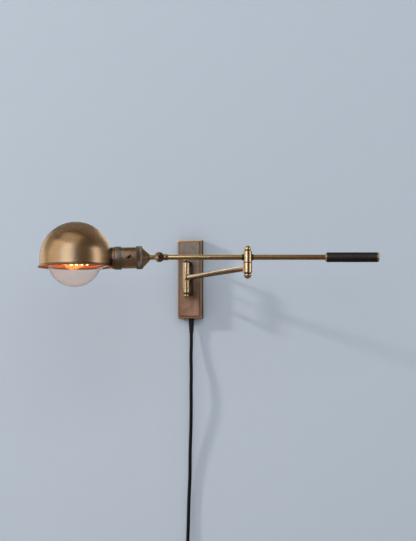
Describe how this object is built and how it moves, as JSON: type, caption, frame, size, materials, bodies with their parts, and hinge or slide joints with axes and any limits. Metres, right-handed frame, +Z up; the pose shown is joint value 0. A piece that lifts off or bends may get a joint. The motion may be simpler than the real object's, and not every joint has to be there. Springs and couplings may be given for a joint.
{
  "type": "plug-in wall sconce",
  "caption": "Swing-arm wall sconce: slim wall plate, hinged arm, balanced boom with a weight, tilting lampholder, side-entry dome shade and globe bulb, with a hanging cord and plug.",
  "frame": {"origin": "middle of the wall plate's back, on the wall", "axes": "+Y into the wall, -Y into the room, +Z up, +X to the right for someone facing the wall"},
  "size_m": [0.5822, 0.3788, 0.7791],
  "materials": {
    "aged_brass": "brushed, darkened",
    "polished_brass": "satin, lightly aged",
    "dark_bronze": "oil-darkened, knurled",
    "holder_brass": "aged, satin",
    "copper": "satin copper",
    "plated_steel": "zinc plated",
    "shell_brass": "plain",
    "phenolic": "moulded",
    "bulb_glass": "clear",
    "stem_glass": "clear",
    "filament": "glowing",
    "base_solder": "solder and glass bead",
    "wire": "insulated",
    "cord": "smooth sheath",
    "relief": "moulded",
    "tie": "woven band",
    "plug": "moulded",
    "blades": "plain"
  },
  "bodies": {
    "wall_mount": {"mounting_strap": "plated_steel", "wall_plate": "aged_brass", "set_screws": "polished_brass", "hinge_bracket": "polished_brass", "bracket_screws": "plated_steel", "hinge_pin": "polished_brass", "hinge_washers": "polished_brass", "hinge_knob_top": "polished_brass", "hinge_knob_bottom": "polished_brass", "strain_relief": "relief", "wire_connectors": "phenolic", "cord_leads": "wire", "feed_wires": "wire", "cord_drop": "cord", "cord_coil": "cord", "cord_tie": "tie", "plug_body": "plug", "plug_blades": "blades"},
    "arm": {"arm_barrel": "polished_brass", "arm_rod": "polished_brass", "arm_ferrule_wall": "polished_brass", "arm_ferrule_elbow": "polished_brass", "arm_wire": "wire", "elbow_lower_barrel": "polished_brass"},
    "boom": {"elbow_washers": "dark_bronze", "elbow_upper_barrel": "polished_brass", "elbow_stud": "polished_brass", "elbow_knob_top": "polished_brass", "elbow_knob_bottom": "polished_brass", "boom_rod": "polished_brass", "boom_bushes": "polished_brass", "boom_wire": "wire", "weight": "dark_bronze", "weight_ferrule": "polished_brass", "weight_cap": "polished_brass", "swivel_base": "polished_brass", "swivel_screw": "polished_brass", "swivel_nut": "polished_brass"},
    "head": {"swivel_washer": "dark_bronze", "swivel_ear": "polished_brass", "cap_nut": "plated_steel", "lampholder_cap": "holder_brass", "lampholder_body": "holder_brass", "lampholder_ring": "holder_brass", "holder_insulator": "phenolic", "screw_shell": "shell_brass", "centre_contact": "shell_brass", "holder_leads": "wire", "copper_ring": "copper", "shade_collar": "dark_bronze", "shade_rivets": "polished_brass", "shade": "aged_brass", "bulb_glass": "bulb_glass", "bulb_base": "shell_brass", "bulb_tip": "base_solder", "bulb_stem": "stem_glass", "bulb_filament": "filament"},
    "switch_key": {"turn_key": "polished_brass"}
  },
  "joints": [
    {"name": "arm_swing", "type": "hinge", "parent": "wall_mount", "child": "arm", "pos_m": [0, -0.052, 0], "axis": [0, 0, 1], "range_deg": [-115, 44]},
    {"name": "boom_swing", "type": "hinge", "parent": "arm", "child": "boom", "pos_m": [0.14822, -0.25827, 0], "axis": [0, 0, -1], "range_deg": [-200, 40]},
    {"name": "head_tilt", "type": "hinge", "parent": "boom", "child": "head", "pos_m": [-0.00187, -0.28636, 0.0188], "axis": [-0.1839, 0.9829, 0], "range_deg": [-90, 90]},
    {"name": "key_turn", "type": "hinge", "parent": "head", "child": "switch_key", "pos_m": [-0.05337, -0.296, 0.0177], "axis": [0.1839, -0.9829, 0], "continuous": true}
  ]
}
